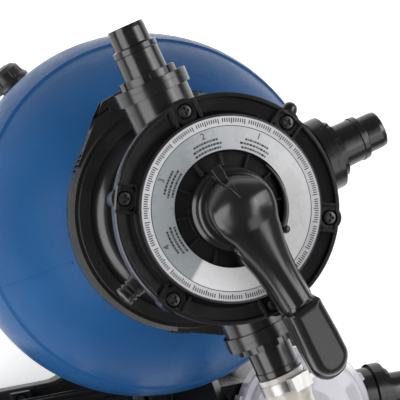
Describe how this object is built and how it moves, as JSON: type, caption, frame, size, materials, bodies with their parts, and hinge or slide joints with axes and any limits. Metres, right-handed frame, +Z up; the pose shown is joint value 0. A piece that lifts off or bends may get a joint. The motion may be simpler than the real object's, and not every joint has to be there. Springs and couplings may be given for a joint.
{
  "type": "sand filter pump unit",
  "caption": "Compact pool pump and sand filter unit: round tank with top multiport valve and lever, strainer pump with clear lid, clear link hose, shared base.",
  "frame": {"origin": "on the floor under the tank's axis, at the middle foot", "axes": "+Z up; +X along the pump shaft from the fan to the suction inlet; +Y from the pump to the tank"},
  "size_m": [0.4825, 0.4865, 0.6094],
  "materials": {
    "base_plate": "satin black moulding",
    "base_feet": "soft black rubber",
    "tank_shell": "blow-moulded, fine orange peel",
    "tank_stand": "satin black moulding",
    "tank_screws": "plain bright steel",
    "drain_cap": "satin black moulding",
    "drain_gasket": "soft black rubber",
    "standpipe": "natural white moulding",
    "lateral_hub": "natural white moulding",
    "laterals": "natural white moulding",
    "neck_o_ring": "soft black rubber",
    "clamp_half_left": "satin black moulding",
    "clamp_half_right": "satin black moulding",
    "clamp_bolts": "plain bright steel",
    "clamp_nuts": "plain bright steel",
    "valve_body": "glossy black moulding",
    "cover_o_ring": "soft black rubber",
    "spider_gasket": "soft black rubber",
    "gauge_port_plug": "satin black moulding",
    "valve_cover": "glossy black moulding",
    "cover_screws": "black oxide",
    "label_ring": "printed silver foil",
    "diverter": "natural white moulding",
    "stem_o_rings": "soft black rubber",
    "diverter_spring": "plain bright steel",
    "thrust_washer": "natural white moulding",
    "handle": "glossy black moulding",
    "handle_pin": "plain bright steel",
    "pump_housing": "glossy black moulding",
    "hose_adapters": "glossy black moulding",
    "adapter_o_rings": "soft black rubber",
    "pot_drain_plug": "satin black moulding",
    "strainer_basket": "natural white moulding",
    "strainer_lid": "clear polycarbonate",
    "lid_o_ring": "soft black rubber",
    "seal_plate": "satin black moulding",
    "seal_plate_bolts": "plain bright steel",
    "seal_seat": "lapped ceramic",
    "seal_head": "black oxide",
    "motor_shaft": "plain bright steel",
    "impeller": "grey moulding",
    "motor_case": "black painted aluminium",
    "motor_front_bracket": "cast aluminium",
    "motor_rear_bracket": "cast aluminium",
    "bearings": "plain bright steel",
    "stator_core": "laminated core",
    "stator_winding": "enamelled copper",
    "rotor_core": "laminated core",
    "cooling_fan": "grey moulding",
    "fan_cowl": "satin black moulding",
    "terminal_box": "satin black moulding",
    "terminal_lid": "satin black moulding",
    "switch_frame": "glossy black moulding",
    "switch_rocker": "grey moulding",
    "capacitor": "natural white moulding",
    "cable_gland": "satin black moulding",
    "pump_bolts": "plain bright steel",
    "clear_hose": "clear soft PVC",
    "hose_clamp_bands": "plain bright steel",
    "hose_clamp_screws": "plain bright steel"
  },
  "bodies": {
    "unit": {"base_plate": "base_plate", "base_feet": "base_feet", "tank_shell": "tank_shell", "tank_stand": "tank_stand", "tank_screws": "tank_screws", "drain_gasket": "drain_gasket", "standpipe": "standpipe", "lateral_hub": "lateral_hub", "laterals": "laterals", "neck_o_ring": "neck_o_ring", "clamp_half_left": "clamp_half_left", "clamp_half_right": "clamp_half_right", "clamp_bolts": "clamp_bolts", "clamp_nuts": "clamp_nuts", "valve_body": "valve_body", "cover_o_ring": "cover_o_ring", "spider_gasket": "spider_gasket", "gauge_port_plug": "gauge_port_plug", "valve_cover": "valve_cover", "cover_screws": "cover_screws", "label_ring": "label_ring", "diverter_spring": "diverter_spring", "pump_housing": "pump_housing", "hose_adapters": "hose_adapters", "adapter_o_rings": "adapter_o_rings", "pot_drain_plug": "pot_drain_plug", "strainer_basket": "strainer_basket", "lid_o_ring": "lid_o_ring", "seal_plate": "seal_plate", "seal_plate_bolts": "seal_plate_bolts", "seal_seat": "seal_seat", "motor_case": "motor_case", "motor_front_bracket": "motor_front_bracket", "motor_rear_bracket": "motor_rear_bracket", "bearings": "bearings", "stator_core": "stator_core", "stator_winding": "stator_winding", "fan_cowl": "fan_cowl", "terminal_box": "terminal_box", "terminal_lid": "terminal_lid", "switch_frame": "switch_frame", "capacitor": "capacitor", "cable_gland": "cable_gland", "pump_bolts": "pump_bolts", "clear_hose": "clear_hose", "hose_clamp_bands": "hose_clamp_bands", "hose_clamp_screws": "hose_clamp_screws"},
    "drain": {"drain_cap": "drain_cap"},
    "selector": {"thrust_washer": "thrust_washer"},
    "diverter": {"diverter": "diverter", "stem_o_rings": "stem_o_rings", "handle_pin": "handle_pin"},
    "handle": {"handle": "handle"},
    "rotor": {"motor_shaft": "motor_shaft", "impeller": "impeller", "seal_head": "seal_head", "rotor_core": "rotor_core", "cooling_fan": "cooling_fan"},
    "lid": {"strainer_lid": "strainer_lid"},
    "rocker": {"switch_rocker": "switch_rocker"}
  },
  "joints": [
    {"name": "selector_turn", "type": "hinge", "parent": "unit", "child": "selector", "pos_m": [0, 0, 0.571], "axis": [0, 0, 1], "range_deg": [-45, 90]},
    {"name": "diverter_lift", "type": "slide", "parent": "selector", "child": "diverter", "axis": [0, 0, 1], "range_m": [0, 0.003], "stiffness_N_per_m": 400, "springref_m": -0.008, "deforming": ["diverter_spring"]},
    {"name": "handle_tilt", "type": "hinge", "parent": "diverter", "child": "handle", "pos_m": [0, 0, 0.588], "axis": [0.9135, 0.4067, 0], "range_deg": [0, 6]},
    {"name": "motor_spin", "type": "hinge", "parent": "unit", "child": "rotor", "pos_m": [0, -0.227, 0.128], "axis": [1, 0, 0], "continuous": true},
    {"name": "lid_turn", "type": "hinge", "parent": "unit", "child": "lid", "pos_m": [0.143, -0.227, 0.2], "axis": [0, 0, 1], "range_deg": [0, 60]},
    {"name": "drain_turn", "type": "hinge", "parent": "unit", "child": "drain", "pos_m": [-0.09671, 0.15181, 0.164], "axis": [-0.5373, 0.8434, 0], "range_deg": [0, 360]},
    {"name": "switch_rock", "type": "hinge", "parent": "unit", "child": "rocker", "pos_m": [-0.077, -0.227, 0.226], "axis": [0, -1, 0], "range_deg": [0, 14]}
  ],
  "couplings": [
    {"joint": "diverter_lift", "follows": "handle_tilt", "m_per_rad": 0.028}
  ]
}
